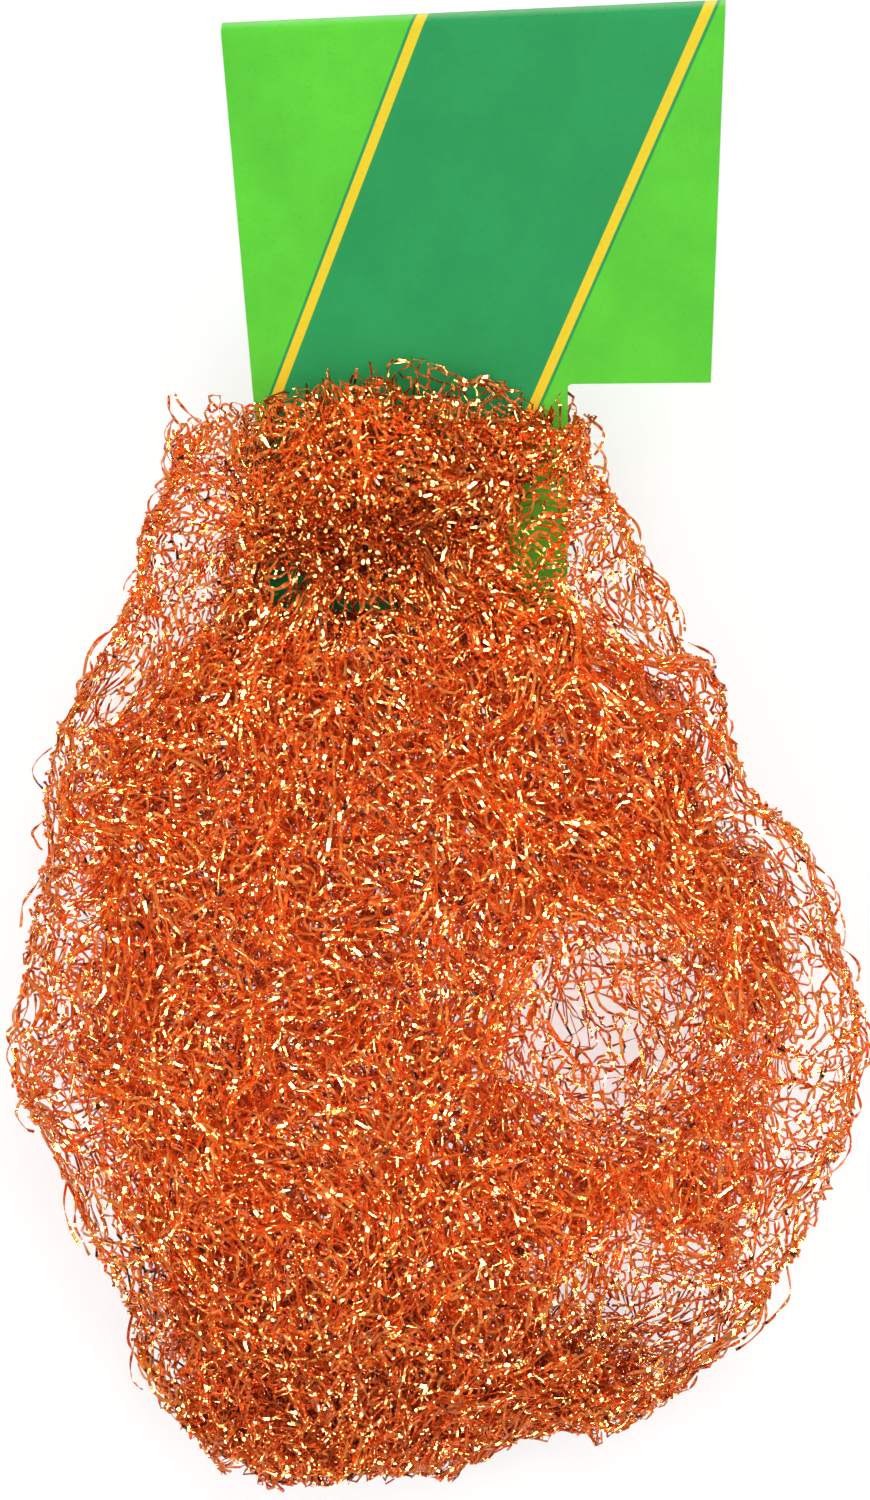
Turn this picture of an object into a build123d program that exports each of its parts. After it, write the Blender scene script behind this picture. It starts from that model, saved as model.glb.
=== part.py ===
from build123d import *
import os

# A knitted copper pot scrubber, lying on a table with its mouth towards +Y and its foot towards -Y.
# A card header stands out of the mouth: its tab is tucked into the knit, and it pulls out along the tab.
# Each ply or fold of the knitted tube is a closed solid of the space that the knit takes up.

# Knitted pad, overall
pad_length = 120.0
pad_width = 93.0
pad_thickness = 24.5
foot_thickness = 3.6
rest_depth = 0.5

# Mouth of the pad, where the knit is gathered round the card's tab
mouth_width = 45.2
mouth_thickness = 11.0
mouth_height = 19.9

# Sleeve and folds of the knit
sleeve_wall = 1.6
ply_gap = 0.3
upper_fold_length = 36.0
foot_fold_length = 15.0
left_fold_edge_x = 6.5

# Width of the folds, as a share of the space inside the sleeve: its sides are loose and empty
fold_width_share = 0.81

# Openings of the net that the sleeve is knitted as, and how far they keep from its edges
net_pitch_across = 9.0
net_pitch_along = 10.0
net_strand = 1.8
net_side_rim = 5.2
net_end_rim = 6.0
rest_radius = 13.0

# Card header, one board folded double over its top edge
card_width = 48.2
header_height = 35.0
board_thickness = 0.45
fold_radius = 1.2
leaf_gap = 0.2
tab_width = 33.5
tab_length = 25.0
outer_corner_radius = 0.5
inner_corner_radius = 0.6

# How the card stands in the mouth and leans out of it
card_x = 4.45
card_pitch_angle = 24.4
card_roll_angle = -9.0
card_yaw_angle = 2.3
tab_clearance = 0.3
shoulder_clearance = 0.3

# Stations down the neck, beside the card's tab, as shares of the tab's length and the mouth's size:
# distance along the tab, sideways place, width, thickness, height over the card's plane, lean like the card's
neck_shares = (
    (0.234, 0.000, 0.982, 1.055, 0.05, 1.00),
    (0.520, 0.009, 1.085, 1.225, 0.13, 0.95),
    (0.832, 0.023, 1.261, 1.450, 0.25, 0.75),
)
# Stations down the belly, as shares of the pad's size and of its length beyond the neck:
# distance from the neck, sideways place, width, thickness, height of the middle, lean like the card's
belly_shares = (
    (0.037, -0.053, 0.706, 0.780, 1.040, 0.40),
    (0.151, -0.051, 0.812, 0.900, 1.005, 0.10),
    (0.265, -0.010, 0.905, 0.970, 1.000, 0.00),
    (0.379, 0.004, 0.965, 1.000, 1.000, 0.00),
    (0.493, 0.000, 0.990, 1.000, 1.000, 0.00),
    (0.607, 0.013, 0.920, 0.970, 0.980, 0.00),
    (0.721, 0.014, 0.818, 0.880, 0.900, 0.00),
    (0.823, -0.001, 0.722, 0.750, 0.783, 0.00),
    (0.899, -0.022, 0.605, 0.580, 0.638, 0.00),
    (0.949, -0.064, 0.435, 0.420, 0.510, 0.00),
    (0.981, -0.105, 0.245, 0.260, 0.390, 0.00),
)
foot_place_share = -0.108
foot_width_share = 0.140
foot_height_share = 0.323

# Thin places in the fold at the belly's right, as shares of the pad's width and length:
# place across, distance from the mouth, half width, half length
thin_place_shares = (
    (0.226, 0.608, 0.075, 0.050),
    (0.274, 0.805, 0.065, 0.035),
)

# The point that the pad rests on, as a share of its length from its mouth
rest_place_share = 0.5455

# Where the four arcs of a section meet, as shares of its half width and half thickness
corner_share_across = 0.88
corner_share_up = 0.60

# What the sizes above lead to
middle_height = pad_thickness / 2 - rest_depth
tab_left = -card_width / 2
tab_right = tab_left + tab_width
mouth_right = tab_right + tab_clearance + ply_gap + sleeve_wall
mouth_offset = mouth_right - mouth_width / 2
closed_half_thickness = leaf_gap / 2 + board_thickness
leaf_length = tab_length + header_height - fold_radius
tab_half_thickness = closed_half_thickness + (fold_radius - closed_half_thickness) * tab_length / leaf_length
neck_fold_reach = tab_length + tab_clearance
upper_fold_reach = neck_fold_reach + ply_gap + upper_fold_length
foot_fold_reach = pad_length - foot_fold_length
span = 2 * (pad_length + pad_width)
box_tolerance = ply_gap / 10

# A turn that stands a section's plane up across the pad
upright = Location((0, 0, 0), (90, 0, 0))


def leaning(place, lean):
    """A location at a place, leaning by a share of the card's own yaw, pitch and roll."""
    spot = Location(place) * Location((0, 0, 0), (0, 0, card_yaw_angle * lean))
    spot = spot * Location((0, 0, 0), (card_pitch_angle * lean, 0, 0))
    return spot * Location((0, 0, 0), (0, card_roll_angle * lean, 0))


card_place = leaning((card_x, 0, mouth_height), 1)
mouth_place = card_place * Location((mouth_offset, -shoulder_clearance, 0))


def station_frames():
    """Planes across the pad, with the pad's half width and half thickness at each, from mouth to foot."""
    frames = [(Plane(mouth_place * upright), mouth_width / 2, mouth_thickness / 2)]
    for along, across, width, thickness, height, lean in neck_shares:
        place = (across * mouth_width, -along * tab_length, height * mouth_thickness)
        on_card = mouth_place * Location(place)
        plane = Plane(leaning(on_card.position, lean) * upright)
        frames.append((plane, width * mouth_width / 2, thickness * mouth_thickness / 2))
    belly_length = pad_length - neck_fold_reach
    for along, across, width, thickness, height, lean in belly_shares:
        place = (across * pad_width, -neck_fold_reach - along * belly_length, height * middle_height)
        plane = Plane(leaning(place, lean) * upright)
        frames.append((plane, width * pad_width / 2, thickness * pad_thickness / 2))
    place = (foot_place_share * pad_width, -pad_length, foot_height_share * middle_height)
    frames.append((Plane(Location(place) * upright), foot_width_share * pad_width / 2, foot_thickness / 2))
    return frames


def section(plane, half_width, half_thickness):
    """A flattened round of four arcs, in a plane across the pad."""
    across = corner_share_across * half_width
    up = corner_share_up * half_thickness
    corners = [(across, up), (-across, up), (-across, -up), (across, -up)]
    middles = [(0, half_thickness), (-half_width, 0), (0, -half_thickness), (half_width, 0)]
    edges = []
    for index, middle in enumerate(middles):
        start = corners[index]
        end = corners[(index + 1) % len(corners)]
        points = [plane.from_local_coords((x, y, 0)) for x, y in (start, middle, end)]
        edges.append(Edge.make_three_point_arc(*points))
    return Wire(edges)


def pad_space(inset, width_share=1):
    """The space inside the pad's outer shape, drawn in by an inset, and cut flat where the pad rests."""
    wires = []
    for plane, half_width, half_thickness in station_frames():
        if half_thickness > 2 * inset:
            wires.append(section(plane, width_share * (half_width - inset), half_thickness - inset))
    return above(inset) & Solid.make_loft(wires)


def above(height):
    """A block that spans the pad above a height."""
    return Box(span, span, span).moved(Location((0, 0, height + span / 2)))


def below(height):
    """A block that spans the pad below a height."""
    return Box(span, span, span).moved(Location((0, 0, height - span / 2)))


def between(near, far):
    """A block that spans the pad between two distances from its mouth."""
    return Box(span, far - near, span).moved(Location((0, -(near + far) / 2, 0)))


def left_of(x):
    """A block that spans the pad to the left of a place."""
    return Box(span, span, span).moved(Location((x - span / 2, 0, 0)))


def right_of(x):
    """A block that spans the pad to the right of a place."""
    return Box(span, span, span).moved(Location((x + span / 2, 0, 0)))


def board_strip():
    """The card's board as a folded strip, as wide as the card: two leaves and the fold over the top."""
    half_gap = leaf_gap / 2
    bend = fold_radius - board_thickness
    top = header_height - fold_radius
    with BuildSketch(Plane.YZ.offset(-card_width / 2)) as strip:
        with BuildLine():
            Line((-tab_length, half_gap), (top, bend))
            ThreePointArc((top, bend), (top + bend, 0), (top, -bend))
            Line((top, -bend), (-tab_length, -half_gap))
            Line((-tab_length, -half_gap), (-tab_length, -closed_half_thickness))
            Line((-tab_length, -closed_half_thickness), (top, -fold_radius))
            ThreePointArc((top, -fold_radius), (top + fold_radius, 0), (top, fold_radius))
            Line((top, fold_radius), (-tab_length, closed_half_thickness))
            Line((-tab_length, closed_half_thickness), (-tab_length, half_gap))
        make_face()
    return extrude(strip.sketch, amount=card_width)


def card_outline():
    """The card's outline: a wide header with a narrower tab below its left side."""
    right = card_width / 2
    with BuildSketch() as outline:
        with BuildLine():
            Polyline(
                (tab_left, header_height),
                (tab_left, -tab_length),
                (tab_right, -tab_length),
                (tab_right, 0),
                (right, 0),
                (right, header_height),
                close=True,
            )
        make_face()
        inner_corner = outline.vertices().sort_by_distance((tab_right, 0, 0))[0]
        cut_corners = outline.vertices().filter_by_position(Axis.Y, -tab_length, 0)
        outer_corners = [corner for corner in cut_corners if corner != inner_corner]
        fillet(inner_corner, inner_corner_radius)
        fillet(outer_corners, outer_corner_radius)
    return outline.sketch


def header_card():
    """The folded board, cut to the card's outline through both leaves, and placed in the mouth."""
    cutter = extrude(card_outline(), amount=2 * fold_radius, both=True)
    return (board_strip() & cutter).moved(card_place)


def tab_slot():
    """The space that the tab takes up in the sleeve, with its clearance."""
    width = tab_width + 2 * tab_clearance
    length = tab_length + tab_clearance
    block = Box(width, 2 * length, 2 * (tab_half_thickness + tab_clearance))
    return block.moved(card_place * Location(((tab_left + tab_right) / 2, 0, 0)))


def side_edges(y):
    """Where the pad's left and right edges are at a distance along it."""
    stations = sorted((plane.origin.Y, plane.origin.X, half_width) for plane, half_width, _ in station_frames())
    for (low, low_x, low_half), (high, high_x, high_half) in zip(stations, stations[1:]):
        if low <= y <= high:
            share = (y - low) / (high - low)
            middle = low_x + (high_x - low_x) * share
            half_width = low_half + (high_half - low_half) * share
            return middle - half_width, middle + half_width
    return 0, 0


def net_places():
    """The middles of the net's openings, in offset rows as far as the rims at its sides and ends."""
    rows = int(2 * pad_length / net_pitch_along) + 1
    columns = int(pad_width / net_pitch_across) + 2
    places = []
    for row in range(rows):
        y = -net_end_rim - row * net_pitch_along / 2
        if y < net_end_rim - pad_length:
            continue
        left, right = side_edges(y)
        left_below, right_below = side_edges(y - net_side_rim)
        shift = net_pitch_across / 2 if row % 2 else 0
        for column in range(-columns, columns + 1):
            x = shift + column * net_pitch_across
            beside = left + net_side_rim < x < right - net_side_rim
            if beside and left_below < x < right_below:
                places.append((x, y))
    return places


def net_openings():
    """Diamond openings through the pad's height, that leave the place that it rests on whole."""
    half_across = net_pitch_across / 2
    half_along = net_pitch_along / 2
    clear = half_across * half_along / (half_across**2 + half_along**2) ** 0.5
    share = 1 - net_strand / 2 / clear
    across = half_across * share
    along = half_along * share
    corners = [(across, 0), (0, along), (-across, 0), (0, -along)]
    diamond = Face(Wire.make_polygon([Vector(x, y, 0) for x, y in corners]))
    upper = Solid.extrude(diamond, Vector(0, 0, span))
    lower = Solid.extrude(diamond, Vector(0, 0, -span))
    rest_place = Vector(0, -rest_place_share * pad_length, 0)
    openings = []
    for x, y in net_places():
        place = Location((x, y, middle_height))
        openings.append(upper.moved(place))
        if (Vector(x, y, 0) - rest_place).length > rest_radius:
            openings.append(lower.moved(place))
    return openings


def outer_mesh_sleeve():
    """The outermost ply of the knitted tube: a bag of open net, closed but for its mouth."""
    bag = pad_space(0) - pad_space(sleeve_wall) - tab_slot()
    return bag - net_openings()


def fold_space():
    """The space inside the sleeve that the folded knit fills, short of the loose margins."""
    return pad_space(sleeve_wall + ply_gap, fold_width_share)


def neck_folds(space):
    """The gathered knit in front of the tab and behind it."""
    neck = space & between(-pad_length, neck_fold_reach)
    side = tab_half_thickness + tab_clearance
    front = Box(span, span, span).moved(card_place * Location((0, 0, side + span / 2)))
    back = Box(span, span, span).moved(card_place * Location((0, 0, -side - span / 2)))
    return neck & front, neck & back


def belly_folds(space):
    """The folded knit in the belly: two folds across its upper part and two down its left side."""
    upper = space & between(neck_fold_reach + ply_gap, upper_fold_reach)
    lower = space & between(upper_fold_reach + ply_gap, foot_fold_reach)
    left = lower & left_of(left_fold_edge_x)
    front = above(middle_height + ply_gap / 2)
    back = below(middle_height - ply_gap / 2)
    return upper & front, upper & back, left & front, left & back


def thin_places():
    """Rounds through the pad's height where the fold at its right is parted and lets light through."""
    rounds = []
    for across, along, wide, long in thin_place_shares:
        plane = Plane((across * pad_width, -along * pad_length, -span / 2))
        edge = Edge.make_ellipse(wide * pad_width, long * pad_length, plane)
        rounds.append(Solid.extrude(Face(Wire([edge])), Vector(0, 0, span)))
    return rounds


def right_fold(space):
    """The looser fold at the belly's right, with the places where the knit is parted."""
    lower = space & between(upper_fold_reach + ply_gap, foot_fold_reach)
    return (lower & right_of(left_fold_edge_x + ply_gap)) - thin_places()


def foot_fold(space):
    """The turned end of the knitted tube, in the foot."""
    return space & between(foot_fold_reach + ply_gap, 2 * pad_length)


def build_parts():
    """Every piece of the scrubber, by name."""
    space = fold_space()
    neck_front, neck_back = neck_folds(space)
    upper_front, upper_back, left_front, left_back = belly_folds(space)
    return {
        "outer_mesh_sleeve": outer_mesh_sleeve(),
        "neck_fold_front": neck_front,
        "neck_fold_back": neck_back,
        "upper_fold_front": upper_front,
        "upper_fold_back": upper_back,
        "left_fold_front": left_front,
        "left_fold_back": left_back,
        "right_fold": right_fold(space),
        "foot_fold": foot_fold(space),
        "header_card": header_card(),
    }


def main():
    """Stand the scrubber on the middle of its own box, and write each piece."""
    os.makedirs("parts", exist_ok=True)
    pieces = build_parts()
    points, _ = Compound(list(pieces.values())).tessellate(box_tolerance)
    middle_x = (min(point.X for point in points) + max(point.X for point in points)) / 2
    middle_y = (min(point.Y for point in points) + max(point.Y for point in points)) / 2
    home = Location((-middle_x, -middle_y, 0))
    print("mouth of the pad moved from the origin to", -middle_x, -middle_y)
    pull = Plane(card_place).y_dir
    print("card pulls out along", pull.X, pull.Y, pull.Z)
    for name, piece in pieces.items():
        export_step(piece.moved(home), f"parts/{name}.step")


main()
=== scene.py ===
import math
import bpy
import bmesh
import numpy as np
from bpy.props import FloatProperty, FloatVectorProperty, IntProperty, PointerProperty
from bpy.types import Operator, Panel, PropertyGroup
from mathutils import Euler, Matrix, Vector
from mathutils.bvhtree import BVHTree


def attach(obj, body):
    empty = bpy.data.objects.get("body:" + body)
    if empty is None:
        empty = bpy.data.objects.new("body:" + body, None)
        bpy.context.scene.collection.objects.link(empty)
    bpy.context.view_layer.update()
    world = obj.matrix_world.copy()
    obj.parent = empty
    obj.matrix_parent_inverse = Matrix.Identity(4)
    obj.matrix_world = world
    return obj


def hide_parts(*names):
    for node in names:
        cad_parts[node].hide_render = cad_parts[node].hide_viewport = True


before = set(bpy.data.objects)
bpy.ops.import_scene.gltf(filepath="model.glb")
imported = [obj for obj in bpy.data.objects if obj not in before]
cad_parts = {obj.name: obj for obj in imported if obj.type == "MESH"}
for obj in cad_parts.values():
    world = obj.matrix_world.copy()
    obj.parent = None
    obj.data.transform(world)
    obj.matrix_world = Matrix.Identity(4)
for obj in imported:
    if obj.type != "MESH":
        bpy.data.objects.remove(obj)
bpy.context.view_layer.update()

bl_info = {
    "name": "Knitted copper scrubber",
    "version": (1, 0, 0),
    "blender": (4, 5, 0),
    "location": "View3D > Sidebar > Scrubber",
    "description": "Knits a copper pot scrubber ply by ply, prints its card header and lights them",
    "category": "Object",
}

MM = 0.001

# Middle of the pad from mouth to foot in mm, and the share of the card's lean at each section
SPINE = (
    (-6.40, 43.50, 18.12, 1.00),
    (-6.28, 38.17, 16.29, 1.00),
    (-5.74, 31.29, 14.18, 0.95),
    (-5.01, 23.63, 12.24, 0.75),
    (-4.92, 14.92, 12.22, 0.40),
    (-4.73, 4.12, 11.81, 0.10),
    (-0.92, -6.67, 11.75, 0.00),
    (0.38, -17.47, 11.75, 0.00),
    (0.01, -28.27, 11.75, 0.00),
    (1.22, -39.06, 11.52, 0.00),
    (1.31, -49.86, 10.58, 0.00),
    (-0.08, -59.52, 9.20, 0.00),
    (-2.04, -66.71, 7.50, 0.00),
    (-5.94, -71.45, 5.99, 0.00),
    (-9.76, -74.48, 4.58, 0.00),
    (-10.04, -76.04, 3.80, 0.00),
)

# The card's own frame: the middle of its shoulder line in mm, and its pitch, roll and yaw
CARD_ORIGIN = (4.4584, 43.7216, 19.9)
CARD_PITCH = math.radians(24.4)
CARD_ROLL = math.radians(-9.0)
CARD_YAW = math.radians(2.3)
CARD_HALF_WIDTH = 24.1
TAB_RIGHT = 9.4
TAB_LENGTH = 25.0
HEADER_HEIGHT = 35.0

# Places where the folded plies part and the table shows through: x, y, half width, half height in mm
WINDOWS = (
    (19.2, -24.6, 14.8, 15.0),
    (23.4, -54.2, 12.9, 9.8),
)

# Gaps in the gathers in front of the card's tab, as the windows are
NECK_GAPS = (
    (-17.0, 23.8, 4.0, 3.3),
    (-8.0, 21.1, 5.5, 2.0),
    (11.0, 27.8, 4.5, 8.5),
)

# Painted shade over the crease where the gathers lie deepest: its middle and half sizes in metres
CREASE_MIDDLE = (-0.0085, 0.0270, 0.018)
CREASE_SIZE = (0.0150, 0.0075, 0.020)

# Where the folds of the tube end, in mm along Y and X, as in the CAD model
NECK_END = 18.27
UPPER_END = -18.03
LOWER_END = -61.43
LEFT_EDGE = 6.66

# How far below the neck's end, in mm, a course may lie and still be parted at the gaps in the gathers
NECK_MARGIN = 8.0

# Stops of place and value, where places are shares of the way from the mouth to the foot:
# how far a ply lies to the right, and how wide it is, both as shares of the skin's width
SLEEVE_CENTRE = ((0.0, 0.0), (1.0, 0.0))
SLEEVE_WIDTH = ((0.0, 1.0), (1.0, 1.0))
FOLD_CENTRE = (
    (0.0, 0.07), (0.05, 0.05), (0.10, 0.0), (0.14, -0.02), (0.20, 0.0), (0.27, 0.02),
    (0.34, 0.0), (0.50, 0.0), (0.58, -0.02), (0.72, -0.02), (0.85, 0.0), (1.0, 0.0),
)
FOLD_NECK_WIDTH = ((0.0, 0.78), (0.05, 0.72), (0.10, 0.58), (0.14, 0.52), (0.20, 0.60))
FOLD_FOOT_WIDTH = ((1.0, 0.95),)

# The same, for how much wider or narrower than its own width a fold is down the belly
FOLD_BELLY_CHANGE = ((0.27, -0.04), (0.34, 0.0), (0.55, 0.0), (0.60, -0.05), (0.72, -0.04), (0.85, 0.0))

# Stops by mm from the mouth: how full the front of the neck is, and how close together its courses lie
NECK_FULLNESS = ((0.0, 1.02), (7.0, 1.04), (13.0, 0.74), (19.0, 0.70), (27.0, 0.92), (36.0, 1.0))
GATHERING = ((0.0, 0.62), (12.0, 0.60), (28.0, 1.0), (112.0, 1.0), (124.0, 0.7))

# Stops across the mouth, from left to right: how far its edge lies below its middle height, in mm
MOUTH_EDGE = (
    (0.0, 5.5), (0.05, 4.2), (0.12, 2.7), (0.20, 1.1), (0.30, 0.1),
    (0.45, -0.3), (0.62, 0.0), (0.80, 0.8), (0.92, 2.0), (1.0, 3.2),
)

# How far down from the mouth its edge bends the courses, in mm, and the share that stays of what
# loops above it
MOUTH_DEPTH = 16.0
ABOVE_MOUTH = 0.35

# Plies folded inside the sleeve: depth from the middle to the skin, width, stitches round the tube,
# seed, points to a stitch, and whether the courses run lengthwise
FOLD_PLIES = (
    (0.88, 0.84, 64, 11, 10, False),
    (0.73, 0.81, 66, 23, 9, True),
    (0.58, 0.79, 61, 37, 8, False),
    (0.42, 0.77, 58, 53, 7, True),
    (0.27, 0.75, 56, 61, 7, False),
    (0.12, 0.73, 54, 71, 7, True),
)

# How the folds' stitches lie: their turn in radians, their loft as a share of the sleeve's, their
# crumple (wide, fine, and the share off the surface), and the mm left free at the mouth and the foot
FOLD_SPIN = 0.9
FOLD_LOFT = 1.3
FOLD_CRUMPLE = (1.2, 0.7, 0.6)
FOLD_START = 0.5
FOLD_STOP = 2.2

# The same for lengthwise courses: their pitch as a share of a course's height, their start, and what
# they leave free in all
LENGTHWISE_PITCH = 1.2
LENGTHWISE_START = 1.7
LENGTHWISE_FREE = 2.0

# How far the starts of the folds' courses stray, in mm and as a share of a stitch
START_STRAY = 0.25
TURN_STRAY = 0.15

# The sleeve, as the folds are, and how much wider its ribbon is
SLEEVE_DEPTH = 0.95
SLEEVE_SEED = 5
SLEEVE_SAMPLES = 12
SLEEVE_SPIN = 0.35
SLEEVE_CRUMPLE = (1.0, 0.5, 0.35)
SLEEVE_START = 0.4
SLEEVE_STOP = 0.7
SLEEVE_BROAD = 1.12

# How a ply parts at a window: the power that pushes its points out, the middle share that loses its
# stitches, and the share of those that stay all the same
SLEEVE_PARTING = (0.80, 0.62, 0.72)
FOLD_PARTING = (0.55, 0.82, 0.13)

# How ragged the edge of a window is, as a share of its size, over waves in mm, with its seed
RAGGEDNESS = 0.14
RAGGED_WAVE = 7.0
RAGGED_SEED = 700

# How far from its two sides the folded knit at the neck is left out, as a share of the way round
OPEN_SIDE = 0.03

# How much stitches vary: slip, drop, swell and height as shares of their own size, and lift of its loft
SLIP = 0.16
DROP = 0.20
SWELL = 0.28
HEIGHT = 0.26
LIFT = 0.5

# Waves of crumple and small kinks, in mm
WIDE_WAVE = 15.0
FINE_WAVE = 6.0
KINK = 0.085

# How far the ribbon turns on its edge in radians: at the ends of loops, in stretches, and at each point
LOOP_SWING = 1.3
STRETCH_SWING = 1.15
STRETCHES_TO_STITCH = 5
POINT_SWING = 0.50

# How the foot sags over the table, in mm: how far, from where over what length, round which place
# across with what spread, and where and over what length it is held back
FOOT_SAG = 2.4
SAG_START = -57.0
SAG_LENGTH = 19.0
SAG_MIDDLE = -13.0
SAG_SPREAD = 17.0
SAG_LIMIT = -77.6
SAG_LAST = 1.9

# How the card's leaves keep the knit away, in mm: half their thickness at the tab's end, what that
# gains over the leaves' length, the clearance, the margin at the edges, and the shoulder's height
LEAF_HALF = 0.55
LEAF_GAIN = 0.65
LEAF_LENGTH = 58.6
LEAF_CLEARANCE = 0.42
LEAF_MARGIN = 0.8
SHOULDER = 0.3

# The slot in the pad for the card's tab, in mm: half its height and the most that it takes of the
# pad, then how far past the tab it starts to close and over what length, and the same for its place
SLOT_HALF = 1.45
SLOT_SHARE = 0.42
SLOT_CLOSES = (0.5, 6.0)
SLOT_SETTLES = (1.5, 14.0)

# Stray curls: points to each, least and most length and height in mm, least and most share of a half
# wave that they bend through, how far their ends wave in mm, and the knots of their twist
CURL_POINTS = 13
CURL_LENGTH = (3.0, 6.5)
CURL_HEIGHT = (0.8, 2.4)
CURL_BEND = (0.55, 1.0)
CURL_WAVE = 0.45
CURL_KNOTS = 5
CURL_SEED = 83

# Height over the table in mm below which ribbon is pressed flat, what stays of its depth, and the least
TABLE_PRESS = 0.45
PRESSED = 0.08
TABLE_CLEARANCE = 0.32

# Metres of ribbon to the width of its UV map, the most of it that one run takes, and its rows
MAP_LENGTH = 0.4
LONGEST_RUN = 0.95
MAP_ROWS = 8
ROW_MARGIN = 0.02

# Sharper bends than this between faces stay sharp, so that flat ribbon doesn't shade as a round wire
SHARP_BEND = math.radians(9.0)

# Which output of Texture Coordinate is Object, and which of Light Path are camera, glossy and clear
OBJECT_PLACE = 3
CAMERA_RAY = 0
GLOSSY_RAY = 3
CLEAR_RAY = 6

# Copper: how its tone and its fine marks repeat over the UV map, and the two steps of its tone
TONE_SCALE = (120.0, 8.0, 1.0)
MARK_SCALE = (90.0, 900.0, 1.0)
TONE_STEP = (0.34, 0.68)
PALE_STEP = (0.60, 0.78)
PALE_GAIN = (1.05, 1.35, 1.9)

# Roughness of the copper as shares of its own, at no marks and gained at full marks, and the strength
# and height of the marks
MARK_ROUGHNESS = (0.65, 0.9)
MARK_BUMP = (0.12, 0.00002)

# Flat stretches and shorter kinks over the width of the UV map, and how far each turns the light
STRETCHES = 620.0
KINKS = 1000.0
PUSH = 0.7

# Near-black specks of painted shade and painted dark reflection: their share of the stretches, what the
# foot adds to it, and their colour
SHADE_FLECKS = 0.010
FOOT_SHADE_FLECKS = 0.050
SHADE_FLECK_COLOUR = (0.040, 0.018, 0.010)

# Painted shade that darkens the knit in the neck's crease and at the foot: how strong, its colour, and
# where the foot starts and is full, in metres
CREASE_SHADE = 0.62
CREASE_SHADE_COLOUR = (0.30, 0.050, 0.008)
FOOT_SHADE = 0.20
FOOT_SHADE_COLOUR = (0.32, 0.050, 0.010)
FOOT_STEP = (0.040, 0.068)

# Metallic share and share of flat stretches of each copper, and how its colours differ
BRIGHT_METAL = (0.74, 0.35)
NECK_METAL = (0.85, 0.7)
# The gathers' copper: paler, as painted light, and with darker lengths, as painted shade
LIT_NECK_COLOUR = (0.93, 0.35, 0.10)
NECK_SHADE = 0.66
# The folds' copper: a darker, redder and duller copy of the copper, as painted shade
DEEP_METAL = (0.52, 0.25)
DEEP_DARK = (0.85, 0.65, 0.5)
DEEP_ROUGHNESS = 1.4

# The card's print in mm: slope and shift of the band's two sides, where it ends inside its stripes,
# and where the stripes end
LEFT_SLOPE = 0.480
LEFT_SHIFT = 21.05
RIGHT_SLOPE = 0.453
RIGHT_SHIFT = 6.9
BAND_STEP = (0.82, 0.92)
STRIPE_STEP = (0.50, 0.58)

# The darker shades of the two greens, the marks of the grain, the fold's wear and painted highlight, and
# the cut board
LIGHT_SHADE = (0.095, 0.62, 0.030)
DARK_SHADE = (0.010, 0.33, 0.085)
GRAIN_GREEN = (0.03, 0.50, 0.14)
GRAIN_DARK = (0.004, 0.22, 0.045)
WEAR_AND_HIGHLIGHT_COLOUR = (0.62, 0.88, 0.55)
CORE_COLOUR = (0.86, 0.86, 0.82)
GRAIN_GREEN_SHARE = 0.10
GRAIN_DARK_SHARE = 0.20
WEAR_AND_HIGHLIGHT_SHARE = 0.30

# Roughness of the card, at no fibres and gained at full ones, and the strength and height of its fibres
CARD_ROUGHNESS = (0.60, 0.18)
FIBRE_BUMP = (0.25, 0.00003)

# The stage in metres: the floor's half size, its colour, its glow and the share of that
FLOOR_HALF = 1.5
FLOOR_COLOUR = (0.89, 0.885, 0.88, 1.0)
FLOOR_GLOW = 1.25
GLOW_SHARE = 0.52
WHITE = (1.0, 1.0, 1.0, 1.0)

# Soft lamps: name, place and size in metres, and share of the key light's power
SOFT_LAMPS = (
    ("key_lamp", (0.12, 0.42, 0.52), 0.20, 1.0),
    ("left_lamp", (-0.55, 0.05, 0.45), 0.14, 0.5),
    ("right_lamp", (0.55, -0.20, 0.50), 0.12, 0.35),
)
LAMP_TARGET = (0.0, 0.0, 0.01)

# Small lamps on a spiral: their size, their least reach and what it grows by, their height and how
# far towards the foot their middle is, in metres, the turn from one to the next, and their spread
SPARK_SIZE = 0.080
SPARK_NEAR = 0.08
SPARK_SPAN = 0.50
SPARK_HEIGHT = 0.50
SPARK_MIDDLE = 0.10
SPARK_TURN = 0.382
SPARK_SPREAD = 0.6

# The camera's place over the table in metres, and its lens and frame height in mm
CAMERA_X = 0.00001
CAMERA_Y = 0.00533
LENS = 36.0
FRAME_HEIGHT = 36.0


def card_turn(share=1.0):
    """The card's turn, or a share of it, as a matrix."""
    yaw = Euler((0.0, 0.0, CARD_YAW * share)).to_matrix()
    pitch = Euler((CARD_PITCH * share, 0.0, 0.0)).to_matrix()
    roll = Euler((0.0, CARD_ROLL * share, 0.0)).to_matrix()
    return yaw @ pitch @ roll


def on_card(points):
    """Points in mm, as seen from the card: right, up the card, and out of its front."""
    turn = np.array(card_turn())
    return (points - np.array(CARD_ORIGIN)) @ turn


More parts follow.
